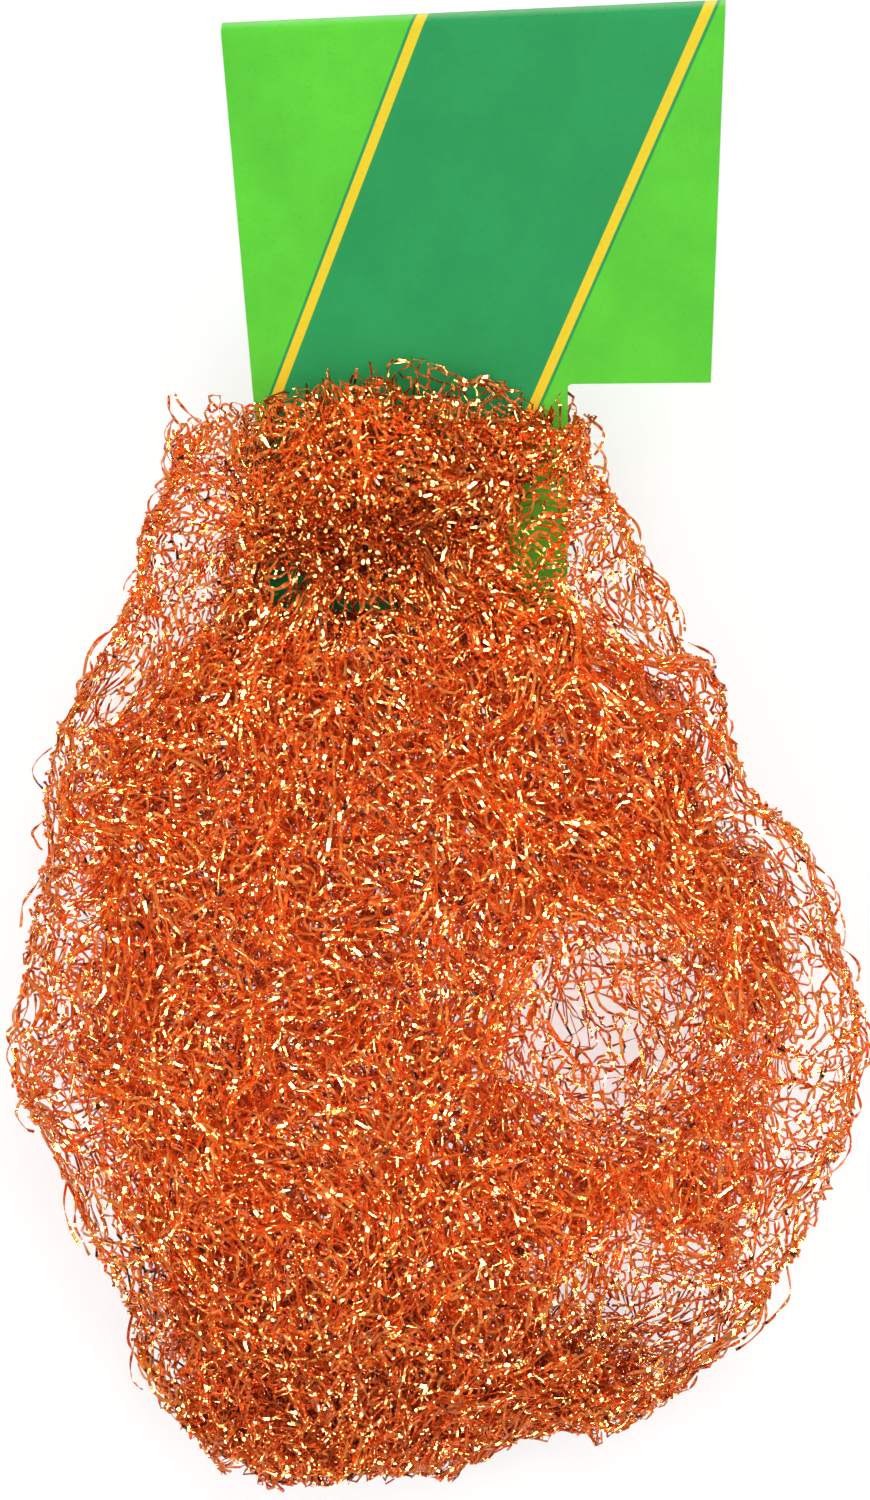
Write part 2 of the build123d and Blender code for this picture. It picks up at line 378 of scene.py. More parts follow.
class RibbonSettings(PropertyGroup):
    width: FloatProperty(
        name="Ribbon width",
        description="Width of the flat copper ribbon",
        default=0.00029,
        unit="LENGTH",
        precision=6,
    )
    thickness: FloatProperty(
        name="Ribbon thickness",
        description="Thickness of the flat copper ribbon",
        default=0.00007,
        unit="LENGTH",
        precision=6,
    )
    copper: FloatVectorProperty(
        name="Copper",
        description="Colour of the bright copper",
        default=(0.93, 0.29, 0.050),
        subtype="COLOR",
        size=3,
        min=0.0,
        max=1.0,
    )
    # Painted shade: the darker, redder copper of the folds, which is also the bright copper's darker
    # lengths
    dark_and_shaded_copper: FloatVectorProperty(
        name="Dark and shaded copper",
        description="Colour of the copper inside the folds",
        default=(0.91, 0.245, 0.038),
        subtype="COLOR",
        size=3,
        min=0.0,
        max=1.0,
    )
    roughness: FloatProperty(
        name="Roughness",
        description="Roughness of the rolled copper",
        default=0.09,
        min=0.0,
        max=1.0,
    )


class KnitSettings(PropertyGroup):
    wales: IntProperty(
        name="Wales",
        description="Stitches around the tube",
        default=74,
        min=24,
        max=96,
    )
    course_height: FloatProperty(
        name="Course height",
        description="Distance from one course of stitches to the next",
        default=0.00215,
        unit="LENGTH",
        precision=5,
    )
    bulge: FloatProperty(
        name="Loop bulge",
        description="How far each loop swells beyond its own wale",
        default=0.95,
        min=0.0,
        max=1.6,
    )
    reach: FloatProperty(
        name="Loop reach",
        description="Half height of a loop, as a share of the course height",
        default=0.66,
        min=0.4,
        max=1.2,
    )
    strays: IntProperty(
        name="Strays",
        description="Loose curls of ribbon round the edge",
        default=110,
        min=0,
        max=400,
    )
    loft: FloatProperty(
        name="Loft",
        description="Height by which crossing ribbons pass over each other",
        default=0.0003,
        unit="LENGTH",
        precision=5,
    )
    crumple: FloatProperty(
        name="Crumple",
        description="How far the stitches wander from their even places",
        default=0.0013,
        unit="LENGTH",
        precision=5,
    )


class CardSettings(PropertyGroup):
    light_green: FloatVectorProperty(
        name="Light green",
        description="Colour of the card's sides",
        default=(0.122, 0.745, 0.030),
        subtype="COLOR",
        size=3,
        min=0.0,
        max=1.0,
    )
    dark_green: FloatVectorProperty(
        name="Dark green",
        description="Colour of the card's slanting band",
        default=(0.013, 0.376, 0.100),
        subtype="COLOR",
        size=3,
        min=0.0,
        max=1.0,
    )
    yellow: FloatVectorProperty(
        name="Yellow",
        description="Colour of the two thin stripes",
        default=(0.95, 0.70, 0.015),
        subtype="COLOR",
        size=3,
        min=0.0,
        max=1.0,
    )


class StudioSettings(PropertyGroup):
    camera_height: FloatProperty(
        name="Camera height",
        description="Height of the camera above the table",
        default=0.177,
        unit="LENGTH",
    )
    key_power: FloatProperty(
        name="Key light",
        description="Power of the large soft light, in watts",
        default=1.0,
        min=0.0,
    )
    sparks: IntProperty(
        name="Sparks",
        description="Number of small lights that make the ribbons glint",
        default=9,
        min=0,
        max=60,
    )
    spark_power: FloatProperty(
        name="Spark lights",
        description="Power of each small light that makes the ribbons glint, in watts",
        default=3.7,
        min=0.0,
    )
    sky: FloatProperty(
        name="Sky",
        description="Strength of the even light from all round",
        default=0.74,
        min=0.0,
    )
    mirrored: FloatProperty(
        name="Mirrored sky",
        description="Strength of the sky as the metal mirrors it",
        default=0.55,
        min=0.0,
    )


class Wire:
    """One output in a material, with the arithmetic that adds Math nodes."""

    def __init__(self, finish, socket):
        self.finish = finish
        self.socket = socket

    def work(self, operation, *values):
        """A Math node on these values."""
        return self.finish.node("ShaderNodeMath", {"operation": operation}, *values)

    def __add__(self, other):
        return self.work("ADD", self, other)

    def __radd__(self, other):
        return self.work("ADD", other, self)

    def __sub__(self, other):
        return self.work("SUBTRACT", self, other)

    def __rsub__(self, other):
        return self.work("SUBTRACT", other, self)

    def __mul__(self, other):
        return self.work("MULTIPLY", self, other)

    def __rmul__(self, other):
        return self.work("MULTIPLY", other, self)

    def __lt__(self, other):
        return self.work("LESS_THAN", self, other)

    def __abs__(self):
        return self.work("ABSOLUTE", self)

    def at_most(self, other):
        """The lower of two values."""
        return self.work("MINIMUM", self, other)

    def step(self, start, end):
        """A soft step from 0 at the start to 1 at the end, either way round."""
        settings = {"interpolation_type": "SMOOTHSTEP"}
        return self.finish.node("ShaderNodeMapRange", settings, self, start, end)


class Finish:
    """A material or a world under construction, from its nodes to its surface."""

    def __init__(self, owner, output="ShaderNodeOutputMaterial"):
        self.owner = owner
        self.output = output
        owner.use_nodes = True
        self.tree = owner.node_tree
        self.tree.nodes.clear()

    def node(self, kind, settings=None, *inputs, out=0, **named):
        """A node of a kind, with its settings, the values or links of its sockets, and one output."""
        made = self.tree.nodes.new(kind)
        for key, value in (settings or {}).items():
            setattr(made, key, value)
        for index, value in enumerate(inputs):
            self.feed(made.inputs[index], value)
        for key, value in named.items():
            self.feed(self.socket(made, key), value)
        return Wire(self, made.outputs[out] if made.outputs else None)

    def socket(self, made, key):
        """An enabled input of a node by its name, with underscores for spaces."""
        name = key.replace("_", " ")
        for found in made.inputs:
            if found.enabled and found.name == name:
                return found
        raise RuntimeError(f"{made.bl_idname} has no input {name}")

    def feed(self, socket, value):
        """Links a wire to a socket, or sets a plain value on it."""
        if isinstance(value, Wire):
            self.tree.links.new(value.socket, socket)
        elif value is not None:
            socket.default_value = value

    def blend(self, mask, first, second):
        """The first colour where the mask is 0 and the second where it is 1."""
        return self.node("ShaderNodeMix", {"data_type": "RGBA"}, out=2, Factor=mask, A=first, B=second)

    def noise(self, vector, scale, detail, rough):
        """A noise value over a vector."""
        return self.node("ShaderNodeTexNoise", None, vector, None, scale, detail, rough)

    def part(self, vector, index):
        """One of the three values of a vector."""
        return self.node("ShaderNodeSeparateXYZ", None, vector, out=index)

    def vector(self, operation, *values, **named):
        """A Vector Math node on these values."""
        return self.node("ShaderNodeVectorMath", {"operation": operation}, *values, **named)

    def stretches(self, distance, scale):
        """A colour picked at random for each stretch along a distance."""
        settings = {"voronoi_dimensions": "1D"}
        return self.node("ShaderNodeTexVoronoi", settings, W=distance * scale, Scale=1.0, out=1)

    def mapping(self, vector, place, turn, scale):
        """A vector, seen from a place, a turn and a scale."""
        settings = {"vector_type": "TEXTURE"}
        return self.node("ShaderNodeMapping", settings, vector, place, turn, scale)

    def rays(self, *kinds):
        """Masks that are 1 for the kinds of ray that Light Path lists."""
        return [self.node("ShaderNodeLightPath", None, out=kind) for kind in kinds]

    def end(self, shader):
        """Joins the shader to the output."""
        self.node(self.output, None, Surface=shader)
        return self.owner


def rgba(colour):
    """A colour with full opacity."""
    return (colour[0], colour[1], colour[2], 1.0)


def copper_finish(name, colour, dark, roughness, metal, flats):
    """Rolled copper ribbon: bright metal with warm and dull lengths, fine marks along it, and painted
    shade.
    """
    finish = Finish(bpy.data.materials.new(name))
    place = finish.node("ShaderNodeUVMap", {"uv_map": "OFBake"})
    distance = finish.part(place, 0)
    coarse = finish.node("ShaderNodeMapping", None, place, None, None, TONE_SCALE)
    fine = finish.node("ShaderNodeMapping", None, place, None, None, MARK_SCALE)
    lengths = finish.noise(coarse, 1.0, 3.0, 0.6)
    marks = finish.noise(fine, 1.0, 2.0, 0.6)
    pale = tuple(min(1.0, value * gain) for value, gain in zip(colour, PALE_GAIN))
    mixed = finish.blend(lengths.step(*TONE_STEP), rgba(dark), rgba(colour))
    mixed = finish.blend(lengths.step(*PALE_STEP), mixed, rgba(pale))

    stretches = finish.stretches(distance, STRETCHES)
    where = finish.node("ShaderNodeTexCoord", None, out=OBJECT_PLACE)
    # How far towards the foot a place lies, for the painted shade there and the extra painted specks
    foot = (finish.part(where, 1) * -1.0).step(*FOOT_STEP)
    # Near-black specks on random stretches, more towards the foot: painted shade and painted dark
    # reflection
    shade_flecks = finish.part(stretches, 0) < SHADE_FLECKS + FOOT_SHADE_FLECKS * foot
    mixed = finish.blend(shade_flecks, mixed, rgba(SHADE_FLECK_COLOUR))
    # Painted shade in the neck's crease, full near its middle and fading out to its edge
    depth = finish.vector("LENGTH", finish.mapping(where, CREASE_MIDDLE, None, CREASE_SIZE), out=1)
    mixed = finish.blend((1.0 - depth.step(0.25, 1.0)) * CREASE_SHADE, mixed, rgba(CREASE_SHADE_COLOUR))
    # Painted shade over the knit towards the foot
    mixed = finish.blend(foot * FOOT_SHADE, mixed, rgba(FOOT_SHADE_COLOUR))

    kinks = finish.stretches(distance, KINKS)
    turned = finish.blend(finish.part(stretches, 1) < flats, kinks, stretches)
    push = finish.vector("SCALE", finish.vector("SUBTRACT", turned, (0.5, 0.5, 0.5)), Scale=PUSH)
    bump = finish.node("ShaderNodeBump", None, *MARK_BUMP, Height=marks)
    surface = finish.node(
        "ShaderNodeBsdfPrincipled",
        None,
        Base_Color=mixed,
        Metallic=metal,
        Roughness=roughness * (MARK_ROUGHNESS[0] + MARK_ROUGHNESS[1] * marks),
        Normal=finish.vector("NORMALIZE", finish.vector("ADD", bump, push)),
    )
    return finish.end(surface)


def unit(rows):
    """Vectors made 1 long, as rows."""
    return rows / np.maximum(np.linalg.norm(rows, axis=-1, keepdims=True), 1e-9)


def through(stops, places):
    """Values at some places, on straight lines through stops of place and value."""
    return np.interp(places, [place for place, value in stops], [value for place, value in stops])


def fade(distance, start, length):
    """1 up to a start and 0 past a length beyond it."""
    return 1.0 - np.clip((distance - start) / length, 0.0, 1.0)


def spread_evenly(rows, count):
    """Rows along a line, at count + 1 places spaced evenly along it, and the line's length."""
    steps = np.linalg.norm(np.diff(rows[:, :3], axis=0), axis=1)
    reach = np.concatenate([[0.0], np.cumsum(steps)])
    places = np.linspace(0.0, reach[-1], count + 1)
    return np.column_stack([np.interp(places, reach, column) for column in rows.T]), reach[-1]


class PadSkin:
    """The pad's outer shape, read from the CAD sleeve as rings from the mouth to the foot."""

    rings = 72
    across = 64
    rays = 180
    ray_start = 90.0
    flatness = 4.0
    least_facing = 0.25
    least_reach = 0.5

    def __init__(self):
        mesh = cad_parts["outer_mesh_sleeve"].data
        corners = [vertex.co for vertex in mesh.vertices]
        self.tree = BVHTree.FromPolygons(corners, [face.vertices for face in mesh.polygons])
        rows, self.length = spread_evenly(np.array(SPINE), self.rings)
        sections = [self.ring(row) for row in rows]
        self.front = self.settle(np.array([front for front, back in sections]))
        self.back = self.settle(np.array([back for front, back in sections]))
        self.part()

    def ring(self, row):
        """The points of one section, from left to right over the front and over the back."""
        turn = np.array(card_turn(row[3]))
        middle = row[:3]
        found = []
        for angle in np.linspace(0.0, 2.0 * math.pi, self.rays, endpoint=False):
            way = turn @ np.array([math.cos(angle) * self.flatness, 0.0, math.sin(angle)])
            way = way / np.linalg.norm(way)
            start = Vector((middle + way * self.ray_start) * MM)
            hit, facing = self.tree.ray_cast(start, Vector(-way), self.ray_start * MM)[:2]
            if hit is None or facing.dot(Vector(way)) < self.least_facing:
                continue
            hit = np.array(hit) / MM
            if (hit - middle) @ way > self.least_reach:
                found.append(hit)
        found = np.array(found)
        flat = (found - middle) @ turn
        order = np.argsort(np.arctan2(flat[:, 2] * self.flatness, -flat[:, 0]))
        found = found[order]
        flat = flat[order]
        left = int(np.argmin(flat[:, 0]))
        found = np.roll(found, -left, axis=0)
        flat = np.roll(flat, -left, axis=0)
        right = int(np.argmax(flat[:, 0]))
        one = found[: right + 1]
        other = np.concatenate([found[right:], found[:1]])[::-1]
        if flat[: right + 1, 2].mean() < 0:
            one, other = other, one
        return spread_evenly(one, self.across)[0], spread_evenly(other, self.across)[0]

    def settle(self, grid):
        """Smooths a grid a little from ring to ring."""
        for _ in range(2):
            inner = (grid[:-2] + 2.0 * grid[1:-1] + grid[2:]) / 4.0
            grid = np.concatenate([grid[:1], inner, grid[-1:]])
        return grid

    def part(self):
        """Works out the surface between the front and back plies, which opens round the card's tab."""
        gap = self.front - self.back
        ahead = on_card(self.front)[:, :, 2]
        behind = on_card(self.back)[:, :, 2]
        share = np.clip(-behind / np.maximum(ahead - behind, 0.01), 0.1, 0.9)
        past_tab = np.linspace(0.0, self.length, self.rings + 1)[:, None] - TAB_LENGTH
        near = fade(past_tab, *SLOT_SETTLES)
        near = near * near * (3.0 - 2.0 * near)
        share = 0.5 + (share - 0.5) * near
        middle = self.back + gap * share[:, :, None]
        normal = np.array(card_turn())[:, 2]
        half = SLOT_HALF * fade(past_tab, *SLOT_CLOSES)
        room = np.linalg.norm(gap, axis=2) * SLOT_SHARE
        half = np.minimum(half, room)[:, :, None]
        self.front_inner = middle + half * normal
        self.back_inner = middle - half * normal

    def tube(self, depth, centre, width):
        """A closed tube inside the skin, at a depth from 0 at the middle to 1 at the skin itself."""
        shares = np.linspace(0.0, 1.0, self.across + 1)
        along = np.linspace(0.0, 1.0, self.rings + 1)
        centres = through(centre, along)
        widths = through(width, along)
        fullness = through(NECK_FULLNESS, np.linspace(0.0, self.length, self.rings + 1))
        rings = []
        for row in range(self.rings + 1):
            places = (0.5 + centres[row] + (shares - 0.5) * widths[row]) * self.across
            places = np.clip(places, 0.0, self.across - 0.001)
            low = places.astype(int)
            part = (places - low)[:, None]
            sides = ((self.front_inner, self.front, fullness[row]), (self.back_inner, self.back, 1.0))
            lines = []
            for inner, outer, full in sides:
                near = inner[row, low] * (1 - part) + inner[row, low + 1] * part
                far = outer[row, low] * (1 - part) + outer[row, low + 1] * part
                lines.append(near + (far - near) * depth * full)
            rings.append(np.concatenate([lines[0][:-1], lines[1][::-1][:-1]]))
        return Tube(np.array(rings), self.length)


class Tube:
    """A closed tube of rings that a course of stitches can follow."""

    def __init__(self, grid, length):
        self.grid = grid
        self.length = length
        self.round = grid.shape[1]
        ring = np.roll(grid, -1, axis=1) - np.roll(grid, 1, axis=1)
        along = np.gradient(grid, axis=0)
        self.normal = unit(np.cross(along, ring))
        step = np.roll(grid, -1, axis=1) - grid
        self.girth = np.linalg.norm(step, axis=2).sum(axis=1)

    def pick(self, field, around, along):
        """Values of a field at places round the tube, from 0 to 1, and along it in mm."""
        column = around * self.round
        left = np.floor(column).astype(int)
        across = (column - left)[:, None]
        row = along / self.length * (self.grid.shape[0] - 1)
        top = np.clip(np.floor(row).astype(int), 0, self.grid.shape[0] - 2)
        down = (row - top)[:, None]
        first = left % self.round
        second = (left + 1) % self.round
        upper = field[top, first] * (1 - across) + field[top, second] * across
        lower = field[top + 1, first] * (1 - across) + field[top + 1, second] * across
        return upper * (1 - down) + lower * down


class Crumple:
    """A smooth field of pushes, made of waves in seeded directions."""

    def __init__(self, seed, wavelength, waves=20):
        rng = np.random.default_rng(seed)
        way = unit(rng.normal(size=(waves, 3)))
        self.way = way * 2.0 * math.pi / (wavelength * rng.uniform(0.65, 1.7, (waves, 1)))
        self.phase = rng.uniform(0.0, 2.0 * math.pi, waves)
        self.push = rng.normal(size=(waves, 3)) * math.sqrt(2.0 / waves)

    def at(self, points):
        """The push at each point, about 1 long along each axis."""
        return np.sin(points @ self.way.T + self.phase) @ self.push


def wander(rng, count, size, spread):
    """A smooth random line through the stitches of a course."""
    knots = rng.normal(size=count + 2) * spread
    return np.interp(size, np.arange(count + 2), knots)


def ribbon_turn(way, normal, swing):
    """How far each point of a ribbon is turned, from the swing of its width off the knit's surface."""
    way = unit(way)
    flat = unit(np.cross(way, normal))
    lift = np.cross(flat, way)
    wide = flat * np.cos(swing)[:, None] + lift * np.sin(swing)[:, None]
    side = unit(np.cross(way, np.array([0.0, 0.0, 1.0])))
    up = np.cross(side, way)
    return -np.arctan2((wide * up).sum(axis=1), (wide * side).sum(axis=1))


def part_windows(points, centres, gaps, parting):
    """Pushes points out of gaps in the knit, and says which stitches stay: few of those in the middles."""
    power, core, left_in = parting
    keep = np.ones(len(centres), bool)
    moved = points.copy()
    for x, y, wide, high in gaps:
        middle = np.array([x, y])
        size = np.array([wide, high])
        offset = (points[:, :2] - middle) / size
        distance = np.maximum(np.linalg.norm(offset, axis=1), 0.02)
        inside = distance < 1.0
        pushed = offset / distance[:, None] * (distance ** power)[:, None]
        moved[inside, :2] = middle + pushed[inside] * size
        centre = np.linalg.norm((centres[:, :2] - middle) / size, axis=1)
        ragged = Crumple(int(x * 10) + RAGGED_SEED, RAGGED_WAVE).at(centres)[:, 0]
        keep &= centre + RAGGEDNESS * ragged > core
    rng = np.random.default_rng(int(abs(centres[:, :2].sum()) * 10.0))
    keep |= rng.random(len(centres)) < left_in
    return moved, keep


def sag(points):
    """Lets the knit at the foot spread a little over the table, to the left of its middle."""
    low = np.clip((SAG_START - points[:, 1]) / SAG_LENGTH, 0.0, 1.0)
    points[:, 1] -= FOOT_SAG * low * low * np.exp(-(((points[:, 0] - SAG_MIDDLE) / SAG_SPREAD) ** 2))
    past = np.maximum(SAG_LIMIT - points[:, 1], 0.0)
    points[:, 1] += past - SAG_LAST * (1.0 - np.exp(-past / SAG_LAST))
    return points


def mouth_line(around):
    """How far each place round the mouth lies below its middle height, in mm."""
    return through(MOUTH_EDGE, 1.0 - np.abs(1.0 - 2.0 * (around % 1.0)))


def course_starts(first, last, course):
    """Where the courses start, closer together where the knit is gathered."""
    starts = [first]
    while starts[-1] < last:
        starts.append(starts[-1] + course * float(through(GATHERING, starts[-1])))
    return np.array(starts[:-1])


class Ply:
    """One ply of the knitted tube: where its courses run, and how they wander."""

    def __init__(self, tube, wales, course, seed, shape, crumple, samples, lengthwise=False):
        self.tube = tube
        self.wales = wales
        self.course = course
        self.rng = np.random.default_rng(seed)
        self.bulge, self.reach, self.loft, self.spin = shape
        self.crumple = crumple
        self.samples = samples
        self.lengthwise = lengthwise
        self.wide = Crumple(seed + 1, WIDE_WAVE)
        self.fine = Crumple(seed + 2, FINE_WAVE)

    def run(self, start, count):
        """The points, normals, swings and places round the tube of one course of stitches."""
        rng = self.rng
        turn = np.linspace(0.0, count, count * self.samples + 1)
        phase = 2.0 * math.pi * turn
        slip = wander(rng, count, turn, SLIP)
        drop = wander(rng, count, turn, DROP) * self.course
        if self.lengthwise:
            along = (turn + slip) * self.course * LENGTHWISE_PITCH + LENGTHWISE_START
            around = start + 0.0 * turn
        else:
            along = start + self.course * turn / self.wales + drop
            around = (turn + slip) / self.wales
        rows = along / self.tube.length * (len(self.tube.girth) - 1)
        girth = np.interp(rows, np.arange(len(self.tube.girth)), self.tube.girth)
        pitch = np.maximum(girth / self.wales, self.course)
        if self.lengthwise:
            pitch = self.course * LENGTHWISE_PITCH
        swell = self.bulge * (1.0 + wander(rng, count, turn, SWELL)) * pitch / (2.0 * math.pi)
        tall = self.reach * (1.0 + wander(rng, count, turn, HEIGHT)) * self.course
        aside = swell * np.sin(2.0 * phase)
        ahead = tall * np.cos(phase) * through(GATHERING, along)
        spin = wander(rng, count, turn, self.spin)
        right = aside * np.cos(spin) - ahead * np.sin(spin)
        up = aside * np.sin(spin) + ahead * np.cos(spin)
        if self.lengthwise:
            around = around + (up + drop) / girth
            along = along + right
        else:
            around = around + right / girth
            along = along + up
        along = along + mouth_line(around) * fade(along, 0.0, MOUTH_DEPTH)
        along = np.where(along < 0.0, along * ABOVE_MOUTH, along)
        lift = self.loft * np.cos(2.0 * phase) * (1.0 + wander(rng, count, turn, LIFT))
        flat = self.tube.pick(self.tube.grid, around, along)
        normal = unit(self.tube.pick(self.tube.normal, around, along))
        push = self.wide.at(flat) * self.crumple[0] + self.fine.at(flat) * self.crumple[1]
        across = (push * normal).sum(axis=1, keepdims=True) * normal
        points = flat + (push - across) + across * self.crumple[2]
        points = points + normal * lift[:, None] + rng.normal(size=points.shape) * KINK
        swing = LOOP_SWING * np.cos(phase) ** 2 * wander(rng, count, turn, 1.0)
        knots = count * STRETCHES_TO_STITCH
        swing = swing + wander(rng, knots, turn * STRETCHES_TO_STITCH, STRETCH_SWING)
        swing = swing + rng.normal(size=len(turn)) * POINT_SWING
        return points, normal, swing, around


class Rack:
    """Collects runs of ribbon by piece."""

    def __init__(self):
        self.runs = {}

    def hang(self, piece, points, normal, swing):
        """Adds one run of ribbon to a piece."""
        if len(points) < 6:
            return
        way = np.gradient(points, axis=0)
        tilt = ribbon_turn(way, normal, swing)
        self.runs.setdefault(piece, []).append((points * MM, tilt))


def clear_of_card(points, front):
    """Keeps points off the card: in front of it or behind it, over its tab and its header."""
    seen = on_card(points)
    right = np.where(seen[:, 1] > SHOULDER, CARD_HALF_WIDTH, TAB_RIGHT)
    level = (seen[:, 0] > -CARD_HALF_WIDTH - LEAF_MARGIN) & (seen[:, 0] < right + LEAF_MARGIN)
    level &= seen[:, 1] > -TAB_LENGTH - LEAF_MARGIN
    up = np.clip((seen[:, 1] + TAB_LENGTH) / LEAF_LENGTH, 0.0, 1.0)
    half = LEAF_HALF + LEAF_GAIN * up + LEAF_CLEARANCE
    wanted = np.maximum(seen[:, 2], half) if front else np.minimum(seen[:, 2], -half)
    wanted = np.where(level, wanted, seen[:, 2])
    normal = np.array(card_turn())[:, 2]
    return points + (wanted - seen[:, 2])[:, None] * normal


def off_the_table(points):
    """Lifts points that would sink into the table."""
    high = points[:, 2]
    pressed = TABLE_PRESS + (high - TABLE_PRESS) * PRESSED
    points[:, 2] = np.maximum(np.where(high < TABLE_PRESS, pressed, high), TABLE_CLEARANCE)
    return points


def fold_name(x, y, front):
    """The fold of the tube that holds a place."""
    if y > NECK_END:
        return "neck_gather_front" if front else "neck_gather_back"
    if y > UPPER_END:
        return "upper_folds_front" if front else "upper_folds_back"
    if y < LOWER_END:
        return "foot_turn"
    if x > LEFT_EDGE:
        return "right_folds"
    return "left_folds_front" if front else "left_folds_back"


def sleeve_name(x, y, front):
    """The quarter of the sleeve that holds a place."""
    return ("sleeve_front" if front else "sleeve_back") + ("_left" if x < 0.0 else "_right")


def knit(rack, ply, courses, stitches, name_of, parting, open_sides=False):
    """Knits the courses of a ply, and hangs each unbroken run on its piece."""
    size = ply.samples
    half = size // 2
    for start in courses:
        points, normal, swing, around = ply.run(start, stitches)
        middles = points[half::size][:stitches]
        in_front = around % 1.0 < 0.5
        fronts = in_front[half::size][:stitches]
        moved, clear = part_windows(points, middles, WINDOWS, parting)
        if middles[:, 1].max() > NECK_END - NECK_MARGIN:
            parted, parted_clear = part_windows(moved, middles, NECK_GAPS, parting)
            moved = np.where(in_front[:, None], parted, moved)
            clear = clear & (parted_clear | ~fronts)
        moved = off_the_table(sag(moved))
        names = []
        for index, (place, front) in enumerate(zip(middles, fronts)):
            side = index / stitches % 0.5
            cut = open_sides and place[1] > NECK_END and min(side, 0.5 - side) < OPEN_SIDE
            kept = clear[index] and not cut
            names.append((name_of(place[0], place[1], front), front) if kept else None)
        index = 0
        while index < stitches:
            last = index
            while last + 1 < stitches and names[last + 1] == names[index]:
                last += 1
            if names[index] is not None:
                name, front = names[index]
                run = slice(index * size, (last + 1) * size + 1)
                rack.hang(name, clear_of_card(moved[run], front), normal[run], swing[run])
            index = last + 1


def fray(rack, tube, count, name_of):
    """Hangs stray curls of ribbon that spring out along the edge of a ply."""
    rng = np.random.default_rng(CURL_SEED)
    reach = np.linspace(0.0, 1.0, CURL_POINTS)
    for _ in range(count):
        side = 0.5 * rng.integers(0, 2) + rng.normal() * 0.02
        start = rng.uniform(2.0, tube.length - 3.0)
        length = rng.uniform(*CURL_LENGTH)
        high = rng.uniform(*CURL_HEIGHT)
        bend = rng.uniform(*CURL_BEND)
        along = np.clip(start + length * (reach - 0.5), 0.5, tube.length - 0.5)
        around = side + reach * rng.normal() * 0.03
        base = tube.pick(tube.grid, around, along)
        normal = unit(tube.pick(tube.normal, around, along))
        rise = (high * np.sin(math.pi * reach * bend))[:, None]
        curl = CURL_WAVE * np.sin(reach * rng.uniform(5.0, 11.0) + rng.uniform(0.0, 6.0))
        points = base + normal * rise
        points[:, 2] += curl
        points = off_the_table(points)
        swing = wander(rng, CURL_KNOTS, reach * CURL_KNOTS, 1.2)
        middle = points[CURL_POINTS // 2]
        name = name_of(middle[0], middle[1], side < 0.5)
        rack.hang(name, clear_of_card(points, side % 1.0 < 0.5), normal, swing)


def ribbon_profile(ribbon):
    """The ribbon's section, as a curve that the paths are given."""
    found = bpy.data.objects.get("ribbon_section")
    if found is not None:
        return found
    curve = bpy.data.curves.new("ribbon_section", "CURVE")
    curve.dimensions = "2D"
    spline = curve.splines.new("POLY")
    spline.points.add(3)
    half_width = ribbon.width / 2
    half_height = ribbon.thickness / 2
    corners = [(-half_width, -half_height), (half_width, -half_height)]
    corners = corners + [(half_width, half_height), (-half_width, half_height)]
    for point, (x, y) in zip(spline.points, corners):
        point.co = (x, y, 0.0, 1.0)
    spline.use_cyclic_u = True
    made = bpy.data.objects.new("ribbon_section", curve)
    bpy.context.scene.collection.objects.link(made)
    return made


def drop_profile():
    """Removes the ribbon's section once the pieces are meshes."""
    made = bpy.data.objects.get("ribbon_section")
    if made is not None:
        curve = made.data
        bpy.data.objects.remove(made)
        bpy.data.curves.remove(curve)


def ribbon_piece(context, name, runs, finish, node, seed, broad=1.0):
    """One piece of flat ribbon, bent along its runs, that stands for a CAD node of the pad."""
    ribbon = context.scene.scrubber_ribbon
    curve = bpy.data.curves.new(name, "CURVE")
    curve.dimensions = "3D"
    curve.twist_mode = "Z_UP"
    curve.bevel_mode = "OBJECT"
    curve.bevel_object = ribbon_profile(ribbon)
    curve.use_fill_caps = True
    for points, tilt in runs:
        spline = curve.splines.new("POLY")
        spline.points.add(len(points) - 1)
        spline.points.foreach_set("co", np.column_stack([points, np.ones(len(points))]).ravel())
        spline.points.foreach_set("tilt", tilt)
        spline.points.foreach_set("radius", np.full(len(points), broad))
    path = bpy.data.objects.new(name + "_path", curve)
    context.scene.collection.objects.link(path)
    graph = context.evaluated_depsgraph_get()
    mesh = bpy.data.meshes.new_from_object(path.evaluated_get(graph))
    bpy.data.objects.remove(path)
    bpy.data.curves.remove(curve)
    mesh.name = name
    place_marks(mesh, runs, seed)
    mesh.shade_smooth()
    mesh.set_sharp_from_angle(angle=SHARP_BEND)
    mesh.materials.clear()
    mesh.materials.append(finish)
    piece = bpy.data.objects.new(name, mesh)
    context.scene.collection.objects.link(piece)
    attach(piece, "pad")
    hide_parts(node)
    return piece


